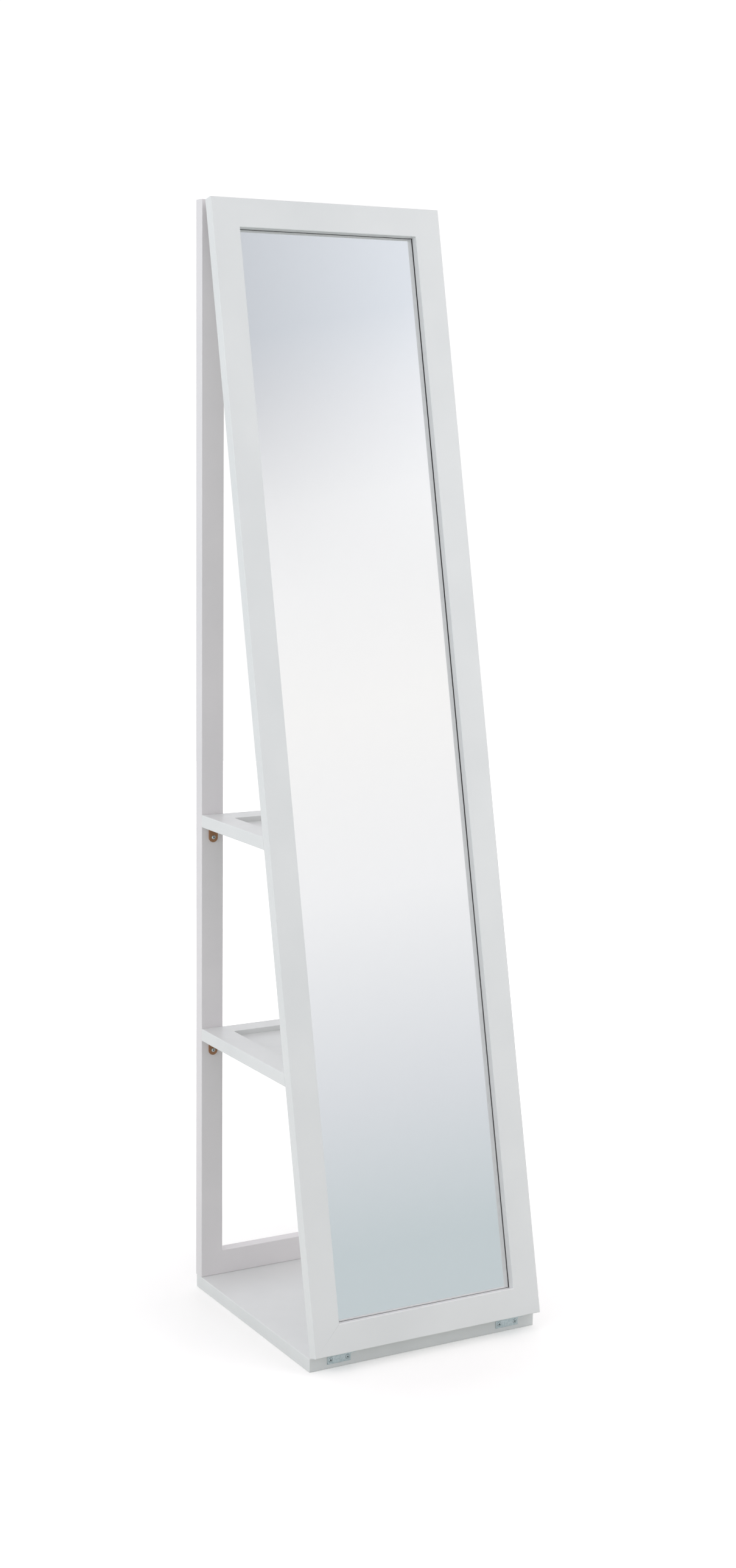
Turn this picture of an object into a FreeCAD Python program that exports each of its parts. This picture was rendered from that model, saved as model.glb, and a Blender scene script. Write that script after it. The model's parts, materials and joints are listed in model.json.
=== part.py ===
"""Free-standing mirror with two storage shelves, in millimetres.

The origin is the middle of the base board's underside. +X is to the viewer's right, +Y is to the
back and +Z is up. A base board carries an upright back frame on its rear edge and, on two butt
hinges along its front edge, a framed mirror. The mirror leans back until it rests on the bevelled
front edges of the two shelves that stand out from the back frame, and it swings forward and down.
"""
import FreeCAD, Part
import math
import os
import re
import Sketcher

VECTOR = FreeCAD.Vector

SIZES = {
    # the whole stand
    "stand_width": 400,
    "stand_height": 1740,
    "base_depth": 396,
    "base_thickness": 21,
    "edge_round": 1.2,
    # back frame
    "back_thickness": 21,
    "back_stile_width": 38,
    "back_rail_width": 40,
    "back_overhang": 3,
    # mirror frame, and how it stands against the rest
    "mirror_thickness": 20,
    "mirror_stile_width": 45,
    "mirror_rail_width": 45,
    "foot_gap": 3,
    "top_gap": 11,
    "top_step": 2,
    # glass, backing and the points that hold them
    "rebate_width": 8,
    "glass_thickness": 3,
    "backing_thickness": 3,
    "rebate_spare": 1.5,
    "glass_clearance": 1,
    "point_thickness": 0.8,
    "point_length": 12,
    "point_grip": 5,
    "point_overlap": 6,
    "point_margin": 90,
    "point_slot_overrun": 1,
    # loose biscuits in the mitred corners
    "biscuit_length": 34,
    "biscuit_width": 16,
    "biscuit_thickness": 4,
    "biscuit_clearance": 0.2,
    # shelves
    "shelf_thickness": 20,
    "upper_shelf_height": 789,
    "lower_shelf_height": 440,
    "rest_gap": 0.3,
    "recess_depth": 8,
    "recess_round": 3,
    "upper_recess_side": 35,
    "upper_recess_rear": 46,
    "upper_recess_front": 60,
    "lower_recess_side": 40,
    "lower_recess_rear": 36,
    "lower_recess_front": 91,
    # angle brackets under the shelves
    "bracket_width": 15,
    "bracket_leg": 25,
    "bracket_thickness": 2,
    "bracket_hole_reach": 17,
    "bracket_inset": 20,
    # small screws of the brackets and hinges
    "screw_diameter": 3,
    "screw_head_diameter": 6.4,
    "screw_head_height": 1.9,
    "screw_length": 15,
    "screw_clearance": 0.1,
    "raised_head_height": 0.8,
    "cross_width": 0.9,
    "cross_length": 3.4,
    "cross_depth": 1.1,
    # long screws up through the base board
    "base_screw_diameter": 4,
    "base_screw_head_diameter": 8,
    "base_screw_length": 48,
    "base_screw_sink": 1,
    "base_screw_spacing": 130,
    "base_screw_spare": 1,
    # butt hinges
    "hinge_inset": 50,
    "leaf_length": 40,
    "leaf_reach": 14.4,
    "leaf_thickness": 1.2,
    "leaf_hole_reach": 7.9,
    "leaf_hole_spacing": 29,
    "pin_diameter": 2.2,
    "pin_clearance": 0.05,
    "knuckle_gap": 0.3,
    "knuckle_end_gap": 0.15,
}

# Lengths and angles that follow from the sizes above, each written in their names.
DERIVED = {
    "back_rear": "base_depth / 2 + back_overhang",
    "back_front": "back_rear - back_thickness",
    "back_height": "stand_height - base_thickness",
    "mirror_foot": "base_thickness + foot_gap",
    "mirror_rise": "stand_height - top_step - mirror_foot",
    "mirror_run": "back_front - top_gap + base_depth / 2",
    "mirror_length": "sqrt(mirror_run ^ 2 + mirror_rise ^ 2)",
    "lean_slope": "mirror_run / mirror_rise",
    "lean_stretch": "mirror_length / mirror_rise",
    "rebate_depth": "glass_thickness + backing_thickness + rebate_spare",
    "glass_half_width": "stand_width / 2 - mirror_stile_width + rebate_width - glass_clearance",
    "glass_length": "mirror_length - 2 * mirror_rail_width + 2 * rebate_width - 2 * glass_clearance",
    "glass_foot": "mirror_rail_width - rebate_width + glass_clearance",
    "knuckle_radius": "pin_diameter / 2 + pin_clearance + leaf_thickness",
    "leaf_seat": "knuckle_radius + knuckle_gap",
    "pin_back": "leaf_seat * (1 - mirror_run / mirror_length) * lean_stretch",
    "pin_height": "mirror_foot + pin_back * mirror_run / mirror_length - leaf_seat / lean_stretch",
    "shelf_drop": "shelf_thickness * lean_slope",
    "upper_shelf_reach": "back_front + base_depth / 2 - (upper_shelf_height - mirror_foot)"
                         " * lean_slope - rest_gap * lean_stretch",
    "lower_shelf_reach": "back_front + base_depth / 2 - (lower_shelf_height - mirror_foot)"
                         " * lean_slope - rest_gap * lean_stretch",
    "sunk_radius": "screw_head_diameter / 2 - leaf_thickness",
    "pilot_radius": "screw_diameter / 2 + screw_clearance",
    "back_mitre": "sqrt(back_stile_width ^ 2 + back_rail_width ^ 2)",
    "mirror_mitre": "sqrt(mirror_stile_width ^ 2 + mirror_rail_width ^ 2)",
}

KNUCKLES = 5
POINTS_PER_STILE = 5
POINTS_PER_RAIL = 2
SIDES = {"left": -1, "right": 1}
SAME_LENGTH = 0.01
SAME_PLACE = 0.1
PARALLEL = 0.9999

doc = FreeCAD.newDocument("standing_mirror")
sheet = doc.addObject("Spreadsheet::Sheet", "Sizes")
for row, (name, number) in enumerate(SIZES.items(), start=1):
    sheet.set(f"A{row}", name)
    sheet.set(f"B{row}", str(number))
    sheet.setAlias(f"B{row}", name)
doc.recompute()

OWNERS = {name: "Sizes." for name in SIZES}
OWNERS.update({name: "Derived." for name in DERIVED})


def bound(text):
    """Put the owner's name before each size in an expression."""
    return re.sub(r"[a-z][a-z_0-9]*", lambda word: OWNERS.get(word.group(0), "") + word.group(0), text)


derived = doc.addObject("App::VarSet", "Derived")
for name, text in DERIVED.items():
    derived.addProperty("App::PropertyFloat", name)
    derived.setExpression(name, bound(text))
derived.addProperty("App::PropertyAngle", "lean_angle")
OWNERS["lean_angle"] = "Derived."
derived.setExpression("lean_angle", bound("atan(lean_slope)"))
doc.recompute()


def value(text):
    """The number that an expression in size names gives now."""
    result = derived.evalExpression(bound(text))
    return float(getattr(result, "Value", result))


# ---------------------------------------------------------------- sketches and features

def new_body(label):
    body = doc.addObject("PartDesign::Body", label)
    body.Label = label
    return body


def place(part, x="0", y="0", z="0", tilt="0"):
    """Move a sub-part, turned about X by tilt degrees first."""
    vector = f"vector({bound(x)}; {bound(y)}; {bound(z)})"
    turn = f"rotation(vector(1; 0; 0); {bound(tilt)})"
    part.setExpression("Placement", f"placement({vector}; {turn})")


def sketch_on(body, name, role, offset="0"):
    sketch = body.newObject("Sketcher::SketchObject", name)
    plane = next(item for item in body.Origin.OriginFeatures if item.Role == role)
    sketch.AttachmentSupport = [(plane, "")]
    sketch.MapMode = "FlatFace"
    sketch.setExpression("AttachmentOffset.Base.z", bound(offset))
    return sketch


def fix_point(sketch, item, end, across, along):
    """Tie one point of a sketch to the origin by its two coordinates."""
    for kind, text in (("DistanceX", across), ("DistanceY", along)):
        row = sketch.addConstraint(Sketcher.Constraint(kind, -1, 1, item, end, value(text)))
        sketch.setExpression(f"Constraints[{row}]", bound(text))


def draw_outline(sketch, corners):
    """A closed outline whose corners are pairs of expressions."""
    first = sketch.GeometryCount
    points = [VECTOR(value(across), value(along), 0) for across, along in corners]
    for start, end in zip(points, points[1:] + points[:1]):
        sketch.addGeometry(Part.LineSegment(start, end))
    for index, (across, along) in enumerate(corners):
        following = first + (index + 1) % len(corners)
        sketch.addConstraint(Sketcher.Constraint("Coincident", first + index, 2, following, 1))
        fix_point(sketch, first + index, 1, across, along)


def draw_rectangle(sketch, left, right, low, high):
    draw_outline(sketch, [(left, low), (right, low), (right, high), (left, high)])


def draw_circle(sketch, across, along, radius):
    centre = VECTOR(value(across), value(along), 0)
    item = sketch.addGeometry(Part.Circle(centre, VECTOR(0, 0, 1), value(radius)))
    fix_point(sketch, item, 3, across, along)
    row = sketch.addConstraint(Sketcher.Constraint("Radius", item, value(radius)))
    sketch.setExpression(f"Constraints[{row}]", bound(radius))


def draw_tab(sketch, half_width, straight):
    """A strip that runs down from the origin and ends in a half circle."""
    width = value(half_width)
    length = value(straight)
    left_top, right_top = VECTOR(-width, 0, 0), VECTOR(width, 0, 0)
    left_low, right_low = VECTOR(-width, -length, 0), VECTOR(width, -length, 0)
    circle = Part.Circle(VECTOR(0, -length, 0), VECTOR(0, 0, 1), width)
    left = sketch.addGeometry(Part.LineSegment(left_top, left_low))
    end = sketch.addGeometry(Part.ArcOfCircle(circle, math.pi, 2 * math.pi))
    right = sketch.addGeometry(Part.LineSegment(right_low, right_top))
    top = sketch.addGeometry(Part.LineSegment(right_top, left_top))
    joins = ((left, 2, end, 1), (end, 2, right, 1), (right, 2, top, 1), (top, 2, left, 1))
    for join in joins:
        sketch.addConstraint(Sketcher.Constraint("Coincident", *join))
    fix_point(sketch, left, 1, f"-({half_width})", "0")
    fix_point(sketch, left, 2, f"-({half_width})", f"-({straight})")
    fix_point(sketch, right, 1, half_width, f"-({straight})")
    fix_point(sketch, right, 2, half_width, "0")
    row = sketch.addConstraint(Sketcher.Constraint("DistanceY", -1, 1, end, 3, -length))
    sketch.setExpression(f"Constraints[{row}]", bound(f"-({straight})"))


def pad(body, sketch, length):
    feature = body.newObject("PartDesign::Pad", sketch.Name + "_pad")
    feature.Profile = sketch
    feature.setExpression("Length", bound(length))
    doc.recompute()
    return feature


def pocket(body, sketch, length, forward=False):
    """Cut against the sketch's normal, or along it when forward is set."""
    before = body.Shape.Volume
    feature = body.newObject("PartDesign::Pocket", sketch.Name + "_cut")
    feature.Profile = sketch
    feature.Reversed = forward
    feature.setExpression("Length", bound(length))
    doc.recompute()
    if not body.Shape.Volume < before:
        raise ValueError(f"{feature.Name} cut nothing")
    return feature


def round_edges(body, radius, chosen):
    """Round those edges of the body's last feature that the test picks."""
    tip = body.Tip
    names = [f"Edge{i}" for i, edge in enumerate(tip.Shape.Edges, start=1) if chosen(edge)]
    feature = body.newObject("PartDesign::Fillet", body.Name + "_round")
    feature.Base = (tip, names)
    feature.setExpression("Radius", bound(radius))
    doc.recompute()
    return feature


def runs_along(axis):
    """A test for edges that are parallel to X, Y or Z."""
    def test(edge):
        run = edge.Vertexes[-1].Point - edge.Vertexes[0].Point
        return run.Length > 0 and abs(run[axis]) > PARALLEL * run.Length
    return test


def drill(body, role, offset, spots, radius, length, forward=False):
    """Round holes at a list of places in one plane."""
    sketch = sketch_on(body, f"{body.Name}_holes_{len(body.Group)}", role, offset)
    for across, along in spots:
        draw_circle(sketch, across, along, radius)
    return pocket(body, sketch, length, forward)


# ---------------------------------------------------------------- mitred frames

def mitred_frame(label, height, stile, rail, thickness, mitre, biscuit_depth, site):
    """Names and sizes that the four members of one frame share."""
    return dict(label=label, height=height, stile=stile, rail=rail, thickness=thickness,
                mitre=mitre, biscuit_depth=biscuit_depth, site=site)


BACK = mitred_frame("back", "back_height", "back_stile_width", "back_rail_width", "back_thickness",
                    "back_mitre", "back_thickness / 2", ("0", "back_rear", "base_thickness", "0"))
MIRROR = mitred_frame("mirror", "mirror_length", "mirror_stile_width", "mirror_rail_width",
                      "mirror_thickness", "mirror_mitre", "(mirror_thickness + rebate_depth) / 2",
                      ("0", "-base_depth / 2", "mirror_foot", "-lean_angle"))


def biscuit_corners(frame, side, top, spare):
    """The corners of a biscuit, or of its slot, that lies along one mitre."""
    half_length = f"(biscuit_length / 2 + {spare})"
    half_width = f"(biscuit_width / 2 + {spare})"
    corners = []
    for along, over in ((-1, -1), (1, -1), (1, 1), (-1, 1)):
        inward = (f"({frame['stile']} / 2 + {along} * {half_length} * {frame['stile']} / {frame['mitre']}"
                  f" - {over} * {half_width} * {frame['rail']} / {frame['mitre']})")
        upward = (f"({frame['rail']} / 2 + {along} * {half_length} * {frame['rail']} / {frame['mitre']}"
                  f" + {over} * {half_width} * {frame['stile']} / {frame['mitre']})")
        across = f"{side} * (stand_width / 2 - {inward})"
        height = f"{frame['height']} - {upward}" if top else upward
        corners.append((across, height))
    return corners


def member_outline(frame, part):
    """The mitred outline of a stile or rail, seen from the front."""
    inner = f"(stand_width / 2 - {frame['stile']})"
    low, high = frame["rail"], f"{frame['height']} - {frame['rail']}"
    if part in SIDES:
        side = SIDES[part]
        outer_x, inner_x = f"{side} * stand_width / 2", f"{side} * {inner}"
        return [(outer_x, "0"), (inner_x, low), (inner_x, high), (outer_x, frame["height"])]
    outer_z = frame["height"] if part == "top" else "0"
    inner_z = high if part == "top" else low
    return [("-stand_width / 2", outer_z), ("stand_width / 2", outer_z),
            (inner, inner_z), (f"-{inner}", inner_z)]


def frame_member(frame, part):
    kind = "stile" if part in SIDES else "rail"
    body = new_body(f"{frame['label']}_{part}_{kind}")
    sketch = sketch_on(body, body.Name + "_outline", "XZ_Plane")
    draw_outline(sketch, member_outline(frame, part))
    pad(body, sketch, frame["thickness"])
    round_edges(body, "edge_round", runs_along(2 if part in SIDES else 0))
    slots = sketch_on(body, body.Name + "_slots", "XZ_Plane",
                      f"{frame['biscuit_depth']} + biscuit_thickness / 2 + biscuit_clearance")
    ends = [(SIDES[part], False), (SIDES[part], True)] if part in SIDES else \
        [(side, part == "top") for side in SIDES.values()]
    for side, top in ends:
        draw_outline(slots, biscuit_corners(frame, side, top, "biscuit_clearance"))
    pocket(body, slots, "biscuit_thickness + 2 * biscuit_clearance")
    place(body, *frame["site"])
    return body


def point_places(part):
    """Where each glazing point crosses one rebate wall."""
    wall = "(stand_width / 2 - mirror_stile_width + rebate_width)"
    low = "mirror_rail_width - rebate_width"
    count = POINTS_PER_STILE if part in SIDES else POINTS_PER_RAIL
    places = []
    for index in range(count):
        share = index / (count - 1)
        if part in SIDES:
            along = f"(point_margin + {share} * (mirror_length - 2 * point_margin))"
            places.append((f"{SIDES[part]} * {wall}", along))
        else:
            along = f"({2 * share - 1} * ({wall} - point_margin))"
            places.append((along, f"mirror_length - ({low})" if part == "top" else low))
    return places


def point_box(part, place_of, out, inside):
    """Edges of a point that reaches out into the wood and inside over the panel."""
    across, along = place_of
    half = "point_length / 2"
    if part in SIDES:
        side = SIDES[part]
        ends = [f"{across} + {side} * ({out})", f"{across} - {side} * ({inside})"]
        left, right = ends if side < 0 else ends[::-1]
        return left, right, f"{along} - {half}", f"{along} + {half}"
    sign = 1 if part == "top" else -1
    ends = [f"{along} + {sign} * ({out})", f"{along} - {sign} * ({inside})"]
    low, high = ends if sign < 0 else ends[::-1]
    return f"{across} - {half}", f"{across} + {half}", low, high


def cut_rebate(body, part):
    """The step at the back of a mirror frame member, and the slots for its glazing points."""
    rebate = sketch_on(body, body.Name + "_rebate", "XZ_Plane")
    side = "(stand_width / 2 - mirror_stile_width + rebate_width)"
    low = "(mirror_rail_width - rebate_width)"
    draw_rectangle(rebate, f"-{side}", side, low, f"mirror_length - {low}")
    pocket(body, rebate, "rebate_depth", forward=True)
    slots = sketch_on(body, body.Name + "_point_slots", "XZ_Plane", "rebate_spare")
    for place_of in point_places(part):
        draw_rectangle(slots, *point_box(part, place_of, "point_grip", "point_slot_overrun"))
    pocket(body, slots, "point_thickness")


PARTS_OF_FRAME = ("left", "right", "top", "bottom")
members = {(frame["label"], part): frame_member(frame, part)
           for frame in (BACK, MIRROR) for part in PARTS_OF_FRAME}
for part in PARTS_OF_FRAME:
    cut_rebate(members["mirror", part], part)

# ---------------------------------------------------------------- base board

BASE_SCREWS = [f"{step} * base_screw_spacing" for step in (-1, 0, 1)]
base_screw_line = "back_rear - back_thickness / 2"
base_screw_radius = "base_screw_diameter / 2 + screw_clearance"

base_panel = new_body("base_panel")
base_sketch = sketch_on(base_panel, "base_outline", "XY_Plane")
draw_rectangle(base_sketch, "-stand_width / 2", "stand_width / 2", "-base_depth / 2", "base_depth / 2")
pad(base_panel, base_sketch, "base_thickness")
round_edges(base_panel, "edge_round", lambda edge: True)
drill(base_panel, "XY_Plane", "0", [(across, base_screw_line) for across in BASE_SCREWS],
      base_screw_radius, "base_thickness", forward=True)
for index, across in enumerate(BASE_SCREWS):
    sink = base_panel.newObject("PartDesign::SubtractiveCone", f"base_sink_{index}")
    sink.setExpression("Radius1", bound("base_screw_head_diameter / 2 + base_screw_sink"))
    sink.setExpression("Radius2", bound("base_screw_diameter / 2"))
    sink.setExpression("Height", bound("(base_screw_head_diameter - base_screw_diameter) / 2"
                                       " + base_screw_sink"))
    place(sink, across, base_screw_line)
    doc.recompute()

drill(members["back", "bottom"], "XY_Plane", "0",
      [(across, "-back_thickness / 2") for across in BASE_SCREWS],
      base_screw_radius, "base_screw_length - base_thickness + base_screw_spare", forward=True)

# ---------------------------------------------------------------- glass and backing


def flat_sheet(label, front, thickness):
    """A plain sheet in the mirror frame's rebate, its front face a depth from the frame's back."""
    body = new_body(label)
    sketch = sketch_on(body, label + "_outline", "XZ_Plane", f"{front} - {thickness}")
    draw_rectangle(sketch, "-glass_half_width", "glass_half_width",
                   "glass_foot", "glass_foot + glass_length")
    pad(body, sketch, thickness)
    place(body, *MIRROR["site"])
    return body


flat_sheet("mirror_glass", "rebate_depth", "glass_thickness")
flat_sheet("backing_panel", "rebate_depth - glass_thickness", "backing_thickness")

# ---------------------------------------------------------------- shelves and their brackets


def shelf(level):
    """A board with a shallow tray cut in its top and a front edge bevelled to the mirror's lean."""
    reach = f"{level}_shelf_reach"
    margin = {edge: f"{level}_recess_{edge}" for edge in ("side", "rear", "front")}
    body = new_body(f"{level}_shelf")
    profile = sketch_on(body, f"{level}_shelf_profile", "YZ_Plane", "-stand_width / 2")
    draw_outline(profile, [("0", "0"), (f"-{reach}", "0"), (f"-{reach} - shelf_drop", "-shelf_thickness"),
                           ("0", "-shelf_thickness")])
    pad(body, profile, "stand_width")
    round_edges(body, "edge_round", lambda edge: True)
    tray = sketch_on(body, f"{level}_shelf_tray", "XY_Plane")
    half = f"(stand_width / 2 - {margin['side']})"
    draw_rectangle(tray, f"-{half}", half, f"-{reach} + {margin['front']}", f"-{margin['rear']}")
    pocket(body, tray, "recess_depth")
    depth = value("recess_depth")
    upright = runs_along(2)
    round_edges(body, "recess_round", lambda edge: upright(edge) and abs(edge.Length - depth) < SAME_LENGTH)
    screws = [(f"{side} * (stand_width / 2 - bracket_inset)", "-bracket_hole_reach")
              for side in SIDES.values()]
    drill(body, "XY_Plane", "-shelf_thickness", screws, "pilot_radius", "screw_length", forward=True)
    place(body, y="back_front", z=f"{level}_shelf_height")
    return body


def bracket(level, side):
    """A right-angled strip with rounded ends, in the corner under a shelf."""
    body = new_body(f"{level}_{side}_bracket")
    straight = "bracket_leg - bracket_width / 2"
    upright = sketch_on(body, body.Name + "_upright", "XZ_Plane")
    draw_tab(upright, "bracket_width / 2", straight)
    pad(body, upright, "bracket_thickness")
    flat = sketch_on(body, body.Name + "_flat", "XY_Plane", "-bracket_thickness")
    draw_tab(flat, "bracket_width / 2", straight)
    pad(body, flat, "bracket_thickness")
    thickness = value("bracket_thickness")
    across = runs_along(0)
    heel = VECTOR(0, -thickness, -thickness)
    round_edges(body, "bracket_thickness / 2",
                lambda edge: across(edge) and (edge.CenterOfMass - heel).Length < SAME_PLACE)
    for role in ("XZ_Plane", "XY_Plane"):
        drill(body, role, "bracket_thickness" if role == "XZ_Plane" else "0",
              [("0", "-bracket_hole_reach")], "pilot_radius", "bracket_thickness")
    place(body, f"{SIDES[side]} * (stand_width / 2 - bracket_inset)", "back_front",
          f"{level}_shelf_height - shelf_thickness")
    return body


LEVELS = ("upper", "lower")
for level in LEVELS:
    shelf(level)
    for side in SIDES:
        bracket(level, side)

for side in SIDES:
    drill(members["back", side], "XZ_Plane", "back_thickness",
          [(f"{SIDES[side]} * (stand_width / 2 - bracket_inset)",
            f"{level}_shelf_height - shelf_thickness - bracket_hole_reach - base_thickness")
           for level in LEVELS], "pilot_radius", "screw_length")

# ---------------------------------------------------------------- hinges

HINGE_SITE = {side: f"{sign} * (stand_width / 2 - hinge_inset)" for side, sign in SIDES.items()}
LEAF_HOLES = [f"{sign} * leaf_hole_spacing / 2" for sign in SIDES.values()]


def knuckle_span(index):
    """Ends of one knuckle along the pin."""
    start = f"(-leaf_length / 2 + {index} * leaf_length / {KNUCKLES} + knuckle_end_gap / 2)"
    return start, f"(leaf_length / {KNUCKLES} - knuckle_end_gap)"


def hinge_leaf(label, owned, way, bore_radius, site):
    """One leaf about its pin on X: way is -1 for a plate below the pin and 1 for one above."""
    body = new_body(label)
    plate = sketch_on(body, label + "_plate", "XZ_Plane", "-leaf_seat")
    near = f"{way} * (knuckle_radius + knuckle_gap)"
    far = f"{way} * leaf_reach"
    low, high = (far, near) if way < 0 else (near, far)
    draw_rectangle(plate, "-leaf_length / 2", "leaf_length / 2", low, high)
    pad(body, plate, "leaf_thickness")
    webs = sketch_on(body, label + "_webs", "XZ_Plane", "-leaf_seat")
    for index in owned:
        start, length = knuckle_span(index)
        bottom, top = (near, "0") if way < 0 else ("0", near)
        draw_rectangle(webs, start, f"{start} + {length}", bottom, top)
    pad(body, webs, "leaf_thickness")
    for index in owned:
        start, length = knuckle_span(index)
        sketch = sketch_on(body, f"{label}_knuckle_{index}", "YZ_Plane", start)
        draw_circle(sketch, "0", "0", "knuckle_radius")
        pad(body, sketch, length)
    bore = sketch_on(body, label + "_bore", "YZ_Plane", "-leaf_length / 2")
    draw_circle(bore, "0", "0", bore_radius)
    pocket(body, bore, "leaf_length", forward=True)
    for index, across in enumerate(LEAF_HOLES):
        sink = body.newObject("PartDesign::SubtractiveCone", f"{label}_sink_{index}")
        sink.setExpression("Radius1", bound("screw_head_diameter / 2"))
        sink.setExpression("Radius2", bound("sunk_radius"))
        sink.setExpression("Height", bound("leaf_thickness"))
        place(sink, across, "leaf_seat - leaf_thickness", f"{way} * leaf_hole_reach", "-90")
        doc.recompute()
    place(body, *site)
    return body


for side in SIDES:
    hinge_leaf(f"base_hinge_leaf_{side}", range(0, KNUCKLES, 2), -1, "pin_diameter / 2",
               (HINGE_SITE[side], "-base_depth / 2 - leaf_seat", "pin_height", "0"))
    hinge_leaf(f"mirror_hinge_leaf_{side}", range(1, KNUCKLES, 2), 1, "pin_diameter / 2 + pin_clearance",
               (HINGE_SITE[side], "-base_depth / 2 - leaf_seat", "pin_height", "90 deg - lean_angle"))
    pin = new_body(f"hinge_pin_{side}")
    pin_sketch = sketch_on(pin, f"hinge_pin_{side}_section", "YZ_Plane", "-leaf_length / 2")
    draw_circle(pin_sketch, "0", "0", "pin_diameter / 2")
    pad(pin, pin_sketch, "leaf_length")
    place(pin, HINGE_SITE[side], "-base_depth / 2 - leaf_seat", "pin_height")

leaf_screws = [f"{HINGE_SITE[side]} + {offset}" for side in SIDES for offset in LEAF_HOLES]
screw_bite = "screw_length - leaf_thickness"
drill(base_panel, "XZ_Plane", "base_depth / 2",
      [(across, "pin_height - leaf_hole_reach") for across in leaf_screws],
      "pilot_radius", screw_bite)
drill(members["mirror", "bottom"], "XY_Plane", "0",
      [(across, "-(pin_back + leaf_hole_reach)") for across in leaf_screws],
      "pilot_radius", screw_bite, forward=True)

# ---------------------------------------------------------------- groups of loose pieces


def group(label, solids, site=("0", "0", "0", "0")):
    """One sub-part that holds several separate solids."""
    part = doc.addObject("Part::Feature", label)
    part.Label = label
    part.Shape = Part.makeCompound(solids)
    place(part, *site)
    return part


def turned(points):
    """A solid of revolution about Z from a half profile."""
    face = Part.Face(Part.makePolygon([VECTOR(x, 0, z) for x, z in points + points[:1]]))
    return face.revolve(VECTOR(0, 0, 0), VECTOR(0, 0, 1), 360)


def cross_cut(solid, top):
    """Sink a cross-shaped driver recess into a screw head whose crown is at height top."""
    width, length, depth = value("cross_width"), value("cross_length"), value("cross_depth")
    for across, along in ((width, length), (length, width)):
        solid = solid.cut(Part.makeBox(across, along, depth, VECTOR(-across / 2, -along / 2, top)))
    return solid


def crown(radius, height, steps=6):
    """Half profile of a low dome above the head's edge, from its middle outwards."""
    angles = [math.pi / 2 * (1 - step / steps) for step in range(steps)]
    return [(radius * math.cos(angle), -height * math.sin(angle)) for angle in angles]


def pan_screw():
    """A dome-headed screw that points along +Z from the seat of its head."""
    head, shaft, length = value("screw_head_diameter / 2"), value("screw_diameter / 2"), value("screw_length")
    height = value("screw_head_height")
    profile = crown(head, height) + [(head, 0), (shaft, 0), (shaft, length - 2 * shaft), (0, length)]
    return cross_cut(turned(profile), -height)


def raised_screw():
    """A sunk screw with a slightly domed head, from the outer face of the plate that it holds."""
    head, shaft, length = value("screw_head_diameter / 2"), value("screw_diameter / 2"), value("screw_length")
    height, plate = value("raised_head_height"), value("leaf_thickness")
    profile = crown(head, height) + [(head, 0), (value("sunk_radius"), plate), (shaft, plate),
                                     (shaft, length - 2 * shaft), (0, length)]
    return cross_cut(turned(profile), -height)


def base_screw():
    """A long flat-headed screw, from its head's flat face."""
    head, shaft = value("base_screw_head_diameter / 2"), value("base_screw_diameter / 2")
    length = value("base_screw_length - base_screw_sink")
    profile = [(0, 0), (head, 0), (shaft, head - shaft), (shaft, length - 2 * shaft), (0, length)]
    return cross_cut(turned(profile), 0)


def at(solid, x, y, z, way=VECTOR(0, 0, 1)):
    """A copy of a solid, its +Z turned to a direction, at a place given in sizes."""
    copy = solid.copy()
    spot = VECTOR(value(x), value(y), value(z))
    copy.Placement = FreeCAD.Placement(spot, FreeCAD.Rotation(VECTOR(0, 0, 1), way))
    return copy


BACKWARD = VECTOR(0, 1, 0)
bracket_x = [f"{sign} * (stand_width / 2 - bracket_inset)" for sign in SIDES.values()]
group("bracket_stile_screws",
      [at(pan_screw(), x, "back_front - bracket_thickness",
          f"{level}_shelf_height - shelf_thickness - bracket_hole_reach", BACKWARD)
       for level in LEVELS for x in bracket_x])
group("bracket_shelf_screws",
      [at(pan_screw(), x, "back_front - bracket_hole_reach",
          f"{level}_shelf_height - shelf_thickness - bracket_thickness")
       for level in LEVELS for x in bracket_x])
group("base_leaf_screws",
      [at(raised_screw(), x, "-base_depth / 2 - leaf_thickness", "pin_height - leaf_hole_reach", BACKWARD)
       for x in leaf_screws])
group("mirror_leaf_screws",
      [at(raised_screw(), x, "-(pin_back + leaf_hole_reach)", "-leaf_thickness") for x in leaf_screws],
      MIRROR["site"])
group("base_screws", [at(base_screw(), x, base_screw_line, "base_screw_sink") for x in BASE_SCREWS])


def slab(corners, depth, thickness):
    """A flat piece in a frame's own X-Z plane, its front face a depth from the frame's back."""
    points = [VECTOR(value(across), -depth, value(along)) for across, along in corners]
    face = Part.Face(Part.makePolygon(points + points[:1]))
    return face.extrude(VECTOR(0, thickness, 0))


for frame in (BACK, MIRROR):
    group(f"{frame['label']}_frame_biscuits",
          [slab(biscuit_corners(frame, side, top, "0"),
                value(f"{frame['biscuit_depth']} + biscuit_thickness / 2"), value("biscuit_thickness"))
           for side in SIDES.values() for top in (False, True)], frame["site"])


def glazing_point(part, place_of):
    left, right, low, high = point_box(part, place_of, "point_grip", "point_overlap")
    corners = [(left, low), (right, low), (right, high), (left, high)]
    return slab(corners, value("rebate_spare"), value("point_thickness"))


group("glazing_points",
      [glazing_point(part, place_of) for part in PARTS_OF_FRAME for place_of in point_places(part)],
      MIRROR["site"])

# ---------------------------------------------------------------- checks and files

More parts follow.
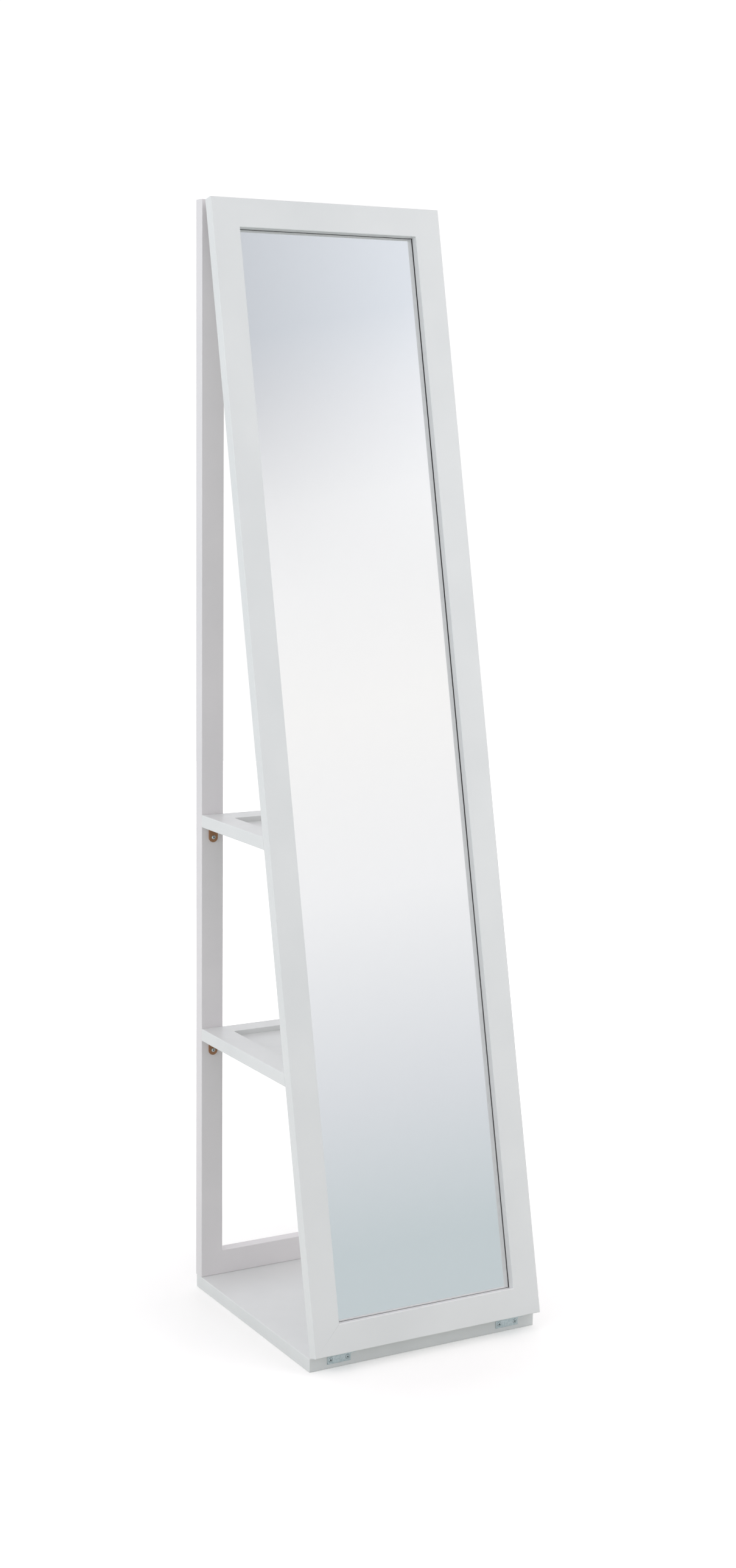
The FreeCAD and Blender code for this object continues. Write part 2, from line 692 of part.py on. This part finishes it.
doc.recompute()
for item in doc.Objects:
    if "Invalid" in item.State or "Error" in item.State:
        raise ValueError(f"{item.Label} did not build: {item.State}")
os.makedirs("parts", exist_ok=True)
nodes = [item for item in doc.Objects if item.TypeId in ("PartDesign::Body", "Part::Feature")]
for node in nodes:
    if node.Shape.isNull() or not node.Shape.isValid():
        raise ValueError(f"{node.Label} has no valid shape")
for node in nodes:
    node.Shape.exportStep(f"parts/{node.Label}.step")
    print(f"{node.Label}: {len(node.Shape.Solids)} solid(s), {node.Shape.Volume / 1000:.2f} cm3")
for name in list(DERIVED) + ["lean_angle"]:
    print(f"{name} = {value(name):.3f}")
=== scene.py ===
import json
from math import cos, radians, sin

import bmesh
import bpy
from mathutils import Matrix, Vector


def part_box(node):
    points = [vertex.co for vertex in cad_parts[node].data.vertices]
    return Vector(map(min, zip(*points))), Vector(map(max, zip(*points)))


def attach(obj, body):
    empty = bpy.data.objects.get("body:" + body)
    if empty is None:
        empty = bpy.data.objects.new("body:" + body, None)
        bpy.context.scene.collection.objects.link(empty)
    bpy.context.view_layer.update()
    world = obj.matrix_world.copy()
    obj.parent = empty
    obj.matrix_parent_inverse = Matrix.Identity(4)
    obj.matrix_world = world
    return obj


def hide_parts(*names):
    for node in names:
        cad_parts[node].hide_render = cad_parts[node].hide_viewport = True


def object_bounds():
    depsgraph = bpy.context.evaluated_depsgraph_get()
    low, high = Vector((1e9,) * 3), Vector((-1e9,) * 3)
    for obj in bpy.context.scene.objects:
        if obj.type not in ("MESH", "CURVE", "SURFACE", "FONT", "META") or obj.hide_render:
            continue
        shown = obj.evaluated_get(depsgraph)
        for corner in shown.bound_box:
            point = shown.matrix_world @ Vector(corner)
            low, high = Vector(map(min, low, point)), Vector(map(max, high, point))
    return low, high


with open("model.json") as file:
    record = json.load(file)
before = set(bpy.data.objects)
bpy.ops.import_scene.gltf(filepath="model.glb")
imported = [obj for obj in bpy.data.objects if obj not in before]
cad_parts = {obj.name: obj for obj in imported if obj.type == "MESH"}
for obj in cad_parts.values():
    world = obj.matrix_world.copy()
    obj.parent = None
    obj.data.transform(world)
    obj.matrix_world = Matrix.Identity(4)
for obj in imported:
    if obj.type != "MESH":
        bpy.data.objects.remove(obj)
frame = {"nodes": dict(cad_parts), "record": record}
cad_low, cad_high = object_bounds()
nodes = frame["nodes"]
slots = {part["node"]: part["material_slot"] for part in frame["record"]["subparts"]}

MM = 0.001
RIGHT = Vector((1, 0, 0))
GRAIN_ON_X, GRAIN_ON_Z = (0.06, 1, 1), (1, 1, 0.06)  # squeezes noise into lines along one axis


# ---------------------------------------------------------------- shader helpers
class Shader:
    """A node tree, with short calls for adding nodes and joining their sockets."""

    def __init__(self, tree):
        self.tree = tree
        self.place = None

    def node(self, kind, values=(), **settings):
        """Adds one node. values maps its input sockets to numbers, colours or other nodes' outputs."""
        made = self.tree.nodes.new("ShaderNode" + kind)
        for name, setting in settings.items():
            setattr(made, name, setting)
        for socket, value in dict(values).items():
            if isinstance(value, bpy.types.NodeSocket):
                self.tree.links.new(value, made.inputs[socket])
            else:
                made.inputs[socket].default_value = value
        return made

    def position(self):
        """The place on the part at rest, in metres: every CAD object sits at the frame's origin."""
        if self.place is None:
            self.place = self.node("TexCoord").outputs["Object"]
        return self.place

    def axis(self, letter):
        """The place along X, Y or Z."""
        return self.node("SeparateXYZ", {0: self.position()}).outputs[letter]

    def along(self, direction):
        """The place along any unit vector."""
        values = {0: self.position(), 1: direction}
        return self.node("VectorMath", values, operation="DOT_PRODUCT").outputs["Value"]

    def away(self):
        """Distance from the origin."""
        return self.node("VectorMath", {0: self.position()}, operation="LENGTH").outputs["Value"]

    def stretched(self, scale):
        """The place, multiplied along each axis, for grain and scratches that run one way."""
        return self.node("VectorMath", {0: self.position(), 1: scale}, operation="MULTIPLY").outputs[0]

    def math(self, operation, first, second=0.0):
        return self.node("Math", {0: first, 1: second}, operation=operation).outputs[0]

    def times(self, *shares):
        """The product of several masks."""
        product = shares[0]
        for share in shares[1:]:
            product = self.math("MULTIPLY", product, share)
        return product

    def noise(self, size, detail=2.0, along=(1, 1, 1)):
        """Noise from 0 to 1, whose cells are about size metres across."""
        values = {"Vector": self.stretched(along), "Scale": 1 / size, "Detail": detail}
        return self.node("TexNoise", values).outputs["Fac"]

    def spread(self, source, low, high, start=0.3, end=0.7):
        """source from start to end becomes low to high."""
        values = {"Value": source, "From Min": start, "From Max": end, "To Min": low, "To Max": high}
        return self.node("MapRange", values).outputs["Result"]

    def blend(self, share, first, second):
        """A colour between first at share 0 and second at share 1."""
        made = self.node("Mix", data_type="RGBA")
        for socket, value in ((0, share), (6, first), (7, second)):
            if isinstance(value, bpy.types.NodeSocket):
                self.tree.links.new(value, made.inputs[socket])
            else:
                made.inputs[socket].default_value = value
        return made.outputs[2]

    def nearest(self, axes):
        """Distance from the nearest of some lines along Y, each given by its X and Z."""
        across = self.stretched((1, 0, 1))
        offs = [self.node("VectorMath", {0: across, 1: (x, 0, z)}, operation="DISTANCE").outputs["Value"]
                for x, z in axes]
        while len(offs) > 1:
            offs.append(self.math("MINIMUM", offs.pop(0), offs.pop(0)))
        return offs[0]

    def bump(self, height, depth, onto=None):
        """A normal from height, 0 to 1, where 1 stands depth metres proud."""
        values = {"Height": height, "Distance": depth, "Strength": 1.0}
        if onto is not None:
            values["Normal"] = onto
        return self.node("Bump", values).outputs["Normal"]


def material(name, values):
    """A new material and its Shader; values are set on its Principled node, numbers or outputs."""
    made = bpy.data.materials.new(name)
    made.use_nodes = True
    made.node_tree.nodes.clear()
    shader = Shader(made.node_tree)
    surface = shader.node("BsdfPrincipled", values(shader))
    output = shader.node("OutputMaterial")
    shader.tree.links.new(surface.outputs[0], output.inputs["Surface"])
    return made


# ---------------------------------------------------------------- materials
def lacquer(grain, tint=(1, 1, 1), seam=None, pale=None):
    """White satin lacquer, rolled and sprayed on board: faint orange peel and a trace of grain.

    seam and pale give masks from 0 to 1, for dark hairlines and for faces lightened with painted light."""

    def values(s):
        tone = s.spread(s.noise(0.12, 3.0), 0.0, 1.0)
        dull, bright = ([part * share for part, share in zip(shade, tint)]
                        for shade in ((0.775, 0.778, 0.775), (0.815, 0.815, 0.810)))
        colour = s.blend(tone, (*dull, 1), (*bright, 1))
        peel = s.noise(1.4 * MM, 1.5)
        fibres = s.noise(0.9 * MM, 2.0, along=grain)
        relief = s.bump(peel, 0.012 * MM, onto=s.bump(fibres, 0.008 * MM))
        gloss = s.spread(s.noise(0.02, 3.0), 0.30, 0.42)
        # painted light: the walls of the mirror frame's opening are lightened to stand in for light the
        # mirror throws on them
        if pale is not None:
            colour = s.blend(pale(s), colour, (0.97, 0.975, 0.975, 1))
        if seam is not None:
            colour = s.blend(seam(s), colour, (0.30, 0.29, 0.27, 1))
        return {"Base Color": colour, "Roughness": gloss, "Normal": relief, "Coat Weight": 0.12,
                "Coat Roughness": 0.18, "IOR": 1.46}

    return values


def zinc(painted_shade=None):
    """Bright zinc plate, bluish, with fine rolling lines and a dull bloom.

    The optional mask, from 0 to 1, marks where painted shade darkens the plate."""

    def values(s):
        lines = s.noise(0.25 * MM, 2.0, along=GRAIN_ON_X)
        bloom = s.noise(2.5 * MM, 4.0)
        colour = s.blend(s.spread(bloom, 0, 1), (0.42, 0.51, 0.53, 1), (0.60, 0.675, 0.69, 1))
        # painted shade: near black in the screws' cross recesses and in the gaps round their heads
        if painted_shade is not None:
            colour = s.blend(painted_shade(s), colour, (0.03, 0.035, 0.035, 1))
        return {"Base Color": colour, "Metallic": 0.8, "Roughness": s.spread(lines, 0.26, 0.44),
                "Normal": s.bump(lines, 0.006 * MM)}

    return values


def bronze(s):
    """Brown lacquered steel, a little mottled."""
    mottle = s.noise(1.6 * MM, 4.0)
    colour = s.blend(s.spread(mottle, 0, 1), (0.30, 0.145, 0.068, 1), (0.41, 0.21, 0.105, 1))
    return {"Base Color": colour, "Metallic": 0.25, "Roughness": s.spread(s.noise(0.8 * MM), 0.34, 0.5),
            "Normal": s.bump(s.noise(0.5 * MM), 0.01 * MM), "Coat Weight": 0.2, "Coat Roughness": 0.25}


def beech(s):
    """Raw beech, with its grain along X."""
    grain = s.noise(0.8 * MM, 3.0, along=(0.08, 1, 1))
    colour = s.blend(s.spread(grain, 0, 1), (0.50, 0.32, 0.18, 1), (0.70, 0.50, 0.32, 1))
    return {"Base Color": colour, "Roughness": 0.7, "Normal": s.bump(grain, 0.05 * MM)}


def hardboard(s):
    """White-primed hardboard, with a fibrous, slightly uneven coat."""
    fibre = s.noise(1.1 * MM, 5.0, along=(1, 1, 0.35))
    patches = s.noise(0.09, 3.0)
    colour = s.blend(s.spread(patches, 0, 1), (0.725, 0.72, 0.70, 1), (0.755, 0.75, 0.73, 1))
    colour = s.blend(s.spread(fibre, 0.0, 0.35, 0.55, 0.8), colour, (0.52, 0.47, 0.40, 1))
    return {"Base Color": colour, "Roughness": s.spread(fibre, 0.6, 0.8), "Normal": s.bump(fibre, 0.05 * MM)}


def clear_glass(s):
    """Float glass, faintly green."""
    return {"Base Color": (0.985, 0.997, 0.992, 1), "Transmission Weight": 1.0, "IOR": 1.52,
            "Roughness": 0.0, "Normal": s.bump(s.noise(0.15, 1.0), 0.002 * MM)}


def silver(s):
    """The mirror's silver coat."""
    return {"Base Color": (0.918, 0.892, 0.896, 1), "Metallic": 1.0, "Roughness": 0.0,
            "Normal": s.bump(s.noise(0.25, 1.0), 0.002 * MM)}


def use(node, made):
    """Gives a CAD node its material, in every slot."""
    for slot in nodes[node].material_slots:
        slot.material = made


# ---------------------------------------------------------------- the leaning frame's own axes
def front_of(node):
    """The outward normal of a slab's front face, which is its largest that faces the viewer."""
    faces = [face for face in nodes[node].data.polygons if face.normal.y < 0]
    return max(faces, key=lambda face: face.area).normal.copy()


glass_front = front_of("mirror_glass")
up_glass = RIGHT.cross(-glass_front).normalized()
glass_axes = Matrix((RIGHT, -glass_front, up_glass)).transposed()


def leaning_box(node):
    """A node's lowest and highest corner along the mirror's own axes."""
    points = [glass_axes.transposed() @ vertex.co for vertex in nodes[node].data.vertices]
    low = Vector(min(point[axis] for point in points) for axis in range(3))
    high = Vector(max(point[axis] for point in points) for axis in range(3))
    return low, high


# ---------------------------------------------------------------- mitre seams
def seam_lines(upright, low, high, slope, usual, lower_left):
    """Hairlines along a frame's four mitres.

    upright is the frame's up direction, and low and high are its ends along it. slope is the rails' width
    over the stiles'. usual and lower_left say how open the seams are, from 0 to 1: the lower left one can
    stand out."""
    half_width = cad_high.x
    hair = 0.35 * MM
    faint_at, clear_at = 10 * MM, 40 * MM  # how far in from the side the seam is hardly, and plainly, open

    def mask(s):
        across, height = s.axis("X"), s.along(upright)
        inward = s.math("SUBTRACT", half_width, s.math("ABSOLUTE", across))
        from_end = s.math("MINIMUM", s.math("SUBTRACT", height, low), s.math("SUBTRACT", high, height))
        off = s.math("ABSOLUTE", s.math("SUBTRACT", s.math("MULTIPLY", inward, slope), from_end))
        line = s.spread(off, 1.0, 0.0, 0.0, hair)
        fade = s.spread(inward, 0.05, 0.75, faint_at, clear_at)
        corner = s.times(s.math("LESS_THAN", across, 0.0), s.math("LESS_THAN", height, (low + high) / 2))
        openness = s.spread(corner, usual, lower_left, 0.0, 1.0)
        return s.times(line, openness, fade, s.spread(s.noise(6 * MM), 0.4, 1.0))

    return mask


def lip_wall_painted_light():
    """A mask for the walls of the mirror frame's opening, in front of the glass, which the lacquer lightens
    as painted light.
    """
    half = -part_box("mirror_left_stile")[1].x
    low = leaning_box("mirror_bottom_rail")[1].z
    high = leaning_box("mirror_top_rail")[0].z
    slack = 0.4 * MM

    def mask(s):
        height = s.along(tuple(up_glass))
        return s.times(s.math("LESS_THAN", s.math("ABSOLUTE", s.axis("X")), half + slack),
                       s.math("GREATER_THAN", height, low - slack), s.math("LESS_THAN", height, high + slack))

    return mask


# ---------------------------------------------------------------- screws
HEAD_RADIUS = 3.2 * MM
PAN_CROWN, RAISED_CROWN = 1.9 * MM, 0.8 * MM  # how far a head's dome stands above its edge
SCREW_APART = 6 * MM  # screws of one node are never closer
CROSS_REACH = 0.75  # share of the head's radius within which the recess lies


def screw_axes(node):
    """X and Z of each screw of a node whose screws lie along Y."""
    groups = []
    for vertex in nodes[node].data.vertices:
        spot = Vector((vertex.co.x, vertex.co.z))
        group = next((group for group in groups if (group[0] - spot).length < SCREW_APART), None)
        if group is None:
            groups.append([spot])
        else:
            group.append(spot)
    return [tuple((min(spot[i] for spot in group) + max(spot[i] for spot in group)) / 2 for i in range(2))
            for group in groups]


def cross_painted_shade(node, crown):
    """A mask for what lies under the dome of a head: the cross recess, which is darkened as painted shade."""
    axes, top = screw_axes(node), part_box(node)[0].y

    def mask(s):
        share = s.math("DIVIDE", s.nearest(axes), HEAD_RADIUS)
        squared = s.math("SUBTRACT", 1.0, s.math("POWER", share, 2.0))
        height = s.math("SQRT", s.math("MAXIMUM", squared, 0.0))
        dome = s.math("MULTIPLY", crown, s.math("SUBTRACT", 1.0, height))
        depth = s.math("SUBTRACT", s.axis("Y"), top)
        under = s.spread(s.math("SUBTRACT", depth, dome), 0.0, 1.0, 0.06 * MM, 0.3 * MM)
        return s.times(under, s.math("LESS_THAN", share, CROSS_REACH))

    return mask


def rim_painted_shade(node):
    """A mask for a thin ring round each head, on the plate under it: a painted shadow in the gap round the
    head.
    """
    axes = screw_axes(node)
    return lambda s: s.spread(s.nearest(axes), 0.9, 0.0, HEAD_RADIUS + 0.2 * MM, HEAD_RADIUS + 0.5 * MM)


# ---------------------------------------------------------------- the mirror
def slab(name, low, high, arris, made):
    """A slab between two corners along the mirror's own axes, with its edges eased by arris."""
    mesh = bmesh.new()
    bmesh.ops.create_cube(mesh, size=1.0)
    for vertex in mesh.verts:
        share = vertex.co + Vector((0.5, 0.5, 0.5))
        vertex.co = Vector(low[axis] + (high[axis] - low[axis]) * share[axis] for axis in range(3))
    bmesh.ops.bevel(mesh, geom=mesh.edges[:], offset=arris, segments=2, profile=0.5, affect="EDGES")
    mesh.transform(glass_axes.to_4x4())
    data = bpy.data.meshes.new(name)
    mesh.to_mesh(data)
    mesh.free()
    piece = bpy.data.objects.new(name, data)
    bpy.context.collection.objects.link(piece)
    data.materials.append(made)
    return piece


def mirror_pane():
    """The pane and its silver coat, in the space of the CAD glass."""
    coat, gap = 0.12 * MM, 0.02 * MM
    pane_arris, coat_arris = 0.4 * MM, 0.03 * MM
    inset = Vector((0.5 * MM, 0, 0.5 * MM))
    low, high = leaning_box("mirror_glass")
    back = high.y - coat - gap
    pane = slab("mirror_pane", low, Vector((high.x, back, high.z)), pane_arris,
                material("float glass", clear_glass))
    behind = slab("mirror_silver", Vector((low.x, back + gap, low.z)) + inset, high - inset, coat_arris,
                  material("silver coat", silver))
    for piece in (pane, behind):
        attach(piece, "mirror_door")
    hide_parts("mirror_glass")


# ---------------------------------------------------------------- dressing the CAD nodes
def dress():
    """Gives every CAD node its material. The seams of the back frame are barely open."""
    back_low, back_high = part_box("back_left_stile")
    rail_low, rail_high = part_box("back_top_rail")
    slope = (rail_high.z - rail_low.z) / (back_high.x - back_low.x)
    back_seam = seam_lines((0, 0, 1), back_low.z, back_high.z, slope, usual=0.2, lower_left=0.2)
    door_low, door_high = leaning_box("mirror_left_stile")
    door_seam = seam_lines(tuple(up_glass), door_low.z, door_high.z, 1.0, usual=0.15, lower_left=1.0)
    frames = (("back", (1.03, 0.985, 1.0), back_seam, None), ("mirror", (1, 1, 1), door_seam, lip_wall_painted_light()))
    for side, tint, seam, pale in frames:
        upright = material(f"{side} stile lacquer", lacquer(GRAIN_ON_Z, tint, seam, pale))
        level = material(f"{side} rail lacquer", lacquer(GRAIN_ON_X, tint, seam, pale))
        for name, made in (("left_stile", upright), ("right_stile", upright),
                           ("top_rail", level), ("bottom_rail", level)):
            use(f"{side}_{name}", made)
    finishes = {"white_lacquer": material("board lacquer", lacquer(GRAIN_ON_X)),
                "zinc_steel": material("zinc plate", zinc()),
                "bronze_bracket": material("bronze lacquer", bronze),
                "beech_biscuit": material("raw beech", beech),
                "backing_board": material("primed hardboard", hardboard)}
    framed = ("_stile", "_rail")
    for node, slot in slots.items():
        if slot in finishes and not node.endswith(framed):
            use(node, finishes[slot])
    # Painted shade darkens the screws' cross recesses and a ring round each head on the hinge leaves.
    for node, crown in (("base_leaf_screws", RAISED_CROWN), ("bracket_stile_screws", PAN_CROWN)):
        use(node, material(f"zinc of the {node}", zinc(cross_painted_shade(node, crown))))
    leaf = material("zinc of the base leaves", zinc(rim_painted_shade("base_leaf_screws")))
    for side in ("left", "right"):
        use(f"base_hinge_leaf_{side}", leaf)


# ---------------------------------------------------------------- studio
FLOOR_RADIUS = 6.0
BOUNCE_DEPTH = 0.5 * MM  # how far the grey floor lies under the pale one
NEAR_GLOW, FAR_GLOW = 0.175, 0.60
NEAR, FAR = 0.32, 2.0  # metres from the origin, between which the floor's glow grows
BACKDROP = 1.05
WHITE = (1, 1, 1, 1)


def pale_floor(s):
    """A seamless pale floor. Seen directly, it glows a little, and more so far from the part."""
    glow = s.times(s.spread(s.away(), NEAR_GLOW, FAR_GLOW, NEAR, FAR),
                   s.node("LightPath").outputs["Is Camera Ray"])
    return {"Base Color": (0.95, 0.94, 0.925, 1), "Roughness": 0.9, "Specular IOR Level": 0.1,
            "Emission Color": WHITE, "Emission Strength": glow}


def grey_floor(s):
    """The tone of the light that comes back up from the floor."""
    return {"Base Color": (0.51, 0.54, 0.505, 1), "Roughness": 0.9, "Specular IOR Level": 0.1}


def softbox(name, place, target, width, height, power, colour):
    """A soft panel of light that neither the camera nor the mirror shows."""
    data = bpy.data.lights.new(name, "AREA")
    data.shape = "RECTANGLE"
    data.size, data.size_y = width, height
    data.energy, data.color = power, colour
    panel = bpy.data.objects.new(name, data)
    bpy.context.collection.objects.link(panel)
    place, target = Vector(place), Vector(target)
    panel.location = place
    panel.rotation_euler = (target - place).to_track_quat("-Z", "Y").to_euler()
    panel.visible_camera = panel.visible_glossy = panel.visible_transmission = False


def floor(name, depth, made):
    """A wide disc under the part."""
    mesh = bmesh.new()
    bmesh.ops.create_circle(mesh, cap_ends=True, radius=FLOOR_RADIUS, segments=96)
    data = bpy.data.meshes.new(name)
    mesh.to_mesh(data)
    mesh.free()
    disc = bpy.data.objects.new(name, data)
    disc.location.z = -depth
    bpy.context.collection.objects.link(disc)
    data.materials.append(made)
    return disc


def floors():
    """The pale floor that is seen, also in the mirror, and a grey one just under it that lights the part."""
    seen = floor("studio_floor", 0.0, material("studio floor", pale_floor))
    seen.visible_diffuse = seen.visible_shadow = False
    bounce = floor("studio_bounce", BOUNCE_DEPTH, material("studio bounce", grey_floor))
    bounce.visible_camera = False


SCREEN = (  # elevation in degrees, colour: dim low down, a wide bright screen, then dim again
    (-90, (0.37, 0.385, 0.375)),
    (-2, (0.60, 0.67, 0.70)),
    (1, (0.61, 0.68, 0.71)),
    (4.5, (0.77, 0.80, 0.84)),
    (9.5, (0.98, 0.99, 1.01)),
    (14, (1.03, 1.03, 1.03)),
    (19, (0.99, 1.00, 1.02)),
    (21.5, (0.86, 0.88, 0.92)),
    (23.5, (0.74, 0.78, 0.84)),
    (35, (0.74, 0.77, 0.81)),
)
OVERHEAD_LEFT, OVERHEAD_RIGHT = (0.86, 0.82, 0.83, 1), (0.63, 0.58, 0.59, 1)
OVERHEAD_START, OVERHEAD_FULL = 0.60, 0.80  # the sine of the elevation at which it begins, and covers all
MIRRORED = radians(31)  # the compass bearing that the mirror shows the camera, from -Y towards +X


def studio_light():
    """Even studio light by height, stronger from the upper left, and plain white behind the part."""
    world = bpy.data.worlds.new("studio")
    bpy.context.scene.world = world
    world.use_nodes = True
    world.node_tree.nodes.clear()
    s = Shader(world.node_tree)
    rays = s.node("TexCoord").outputs["Generated"]
    direction = s.node("SeparateXYZ", {0: rays}).outputs
    ramp = s.node("ValToRGB", {0: s.spread(direction["Z"], 0.0, 1.0, -1.0, 1.0)})
    stops = ramp.color_ramp.elements
    brightest = max(max(colour) for _, colour in SCREEN)
    while len(stops) < len(SCREEN):
        stops.new(1.0)
    for stop, (elevation, colour) in zip(stops, SCREEN):
        stop.position = (sin(radians(elevation)) + 1) / 2
        stop.color = (*(part / brightest for part in colour), 1)
    sideways = s.node("VectorMath", {0: rays, 1: (cos(MIRRORED), sin(MIRRORED), 0)},
                      operation="DOT_PRODUCT").outputs["Value"]
    high = s.spread(direction["Z"], 0.0, 1.0, sin(radians(17)), sin(radians(22)))
    lean = s.times(high, s.spread(sideways, -0.12, 0.12, -0.035, 0.04))
    strength = s.times(brightest, s.math("ADD", 1.0, lean))
    screen = s.node("Background", {"Color": ramp.outputs["Color"], "Strength": strength}).outputs[0]
    rightward = s.spread(direction["X"], 0.0, 1.0, -0.7, 0.7)
    overhead = s.node("Background", {"Color": s.blend(rightward, OVERHEAD_LEFT, OVERHEAD_RIGHT)}).outputs[0]
    above = s.spread(direction["Z"], 0.0, 1.0, OVERHEAD_START, OVERHEAD_FULL)
    light = s.node("MixShader", {0: above, 1: screen, 2: overhead}).outputs[0]
    white = s.node("Background", {"Color": WHITE, "Strength": BACKDROP}).outputs[0]
    seen = s.node("LightPath").outputs["Is Camera Ray"]
    mixed = s.node("MixShader", {0: seen, 1: light, 2: white}).outputs[0]
    s.node("OutputWorld", {"Surface": mixed})


def camera():
    """The photographer's place: in front and to the left, a little above the middle, looking down."""
    eye = Vector((-1.7423, -3.0905, 1.4110))
    turn, tilt, roll = radians(-29.42), radians(90 - 8.967), radians(0.679)
    data = bpy.data.cameras.new("studio_camera")
    data.sensor_width = 36.0
    data.lens = 53.0
    made = bpy.data.objects.new("studio_camera", data)
    bpy.context.collection.objects.link(made)
    aim = Matrix.Rotation(turn, 4, "Z") @ Matrix.Rotation(tilt, 4, "X") @ Matrix.Rotation(roll, 4, "Z")
    made.matrix_world = Matrix.Translation(eye) @ aim
    bpy.context.scene.camera = made


PANELS = (  # name, place, target, width, height, power in watts, colour
    ("left_panel", (-2.6, -0.3, 1.45), (0, 0, 1.0), 1.6, 2.0, 21.0, (0.95, 0.978, 1.0)),
    ("front_panel", (1.0, -1.7, 2.7), (0.1, -0.1, 1.2), 1.2, 1.2, 6.5, (1.0, 0.99, 0.99)),
    ("right_strip", (0.9, -0.9, 1.1), (0.18, -0.1, 0.9), 0.4, 1.8, 3.0, (1.0, 0.99, 0.985)),
    ("rear_panel", (0.9, 2.8, 1.6), (0, 0, 0.9), 1.6, 1.6, 9, (1.0, 1.0, 1.0)),
)


camera()
studio_light()
for panel in PANELS:
    softbox(*panel)
floors()
dress()
mirror_pane()

view = bpy.context.scene.view_settings
view.view_transform = "Standard"
view.look = "None"
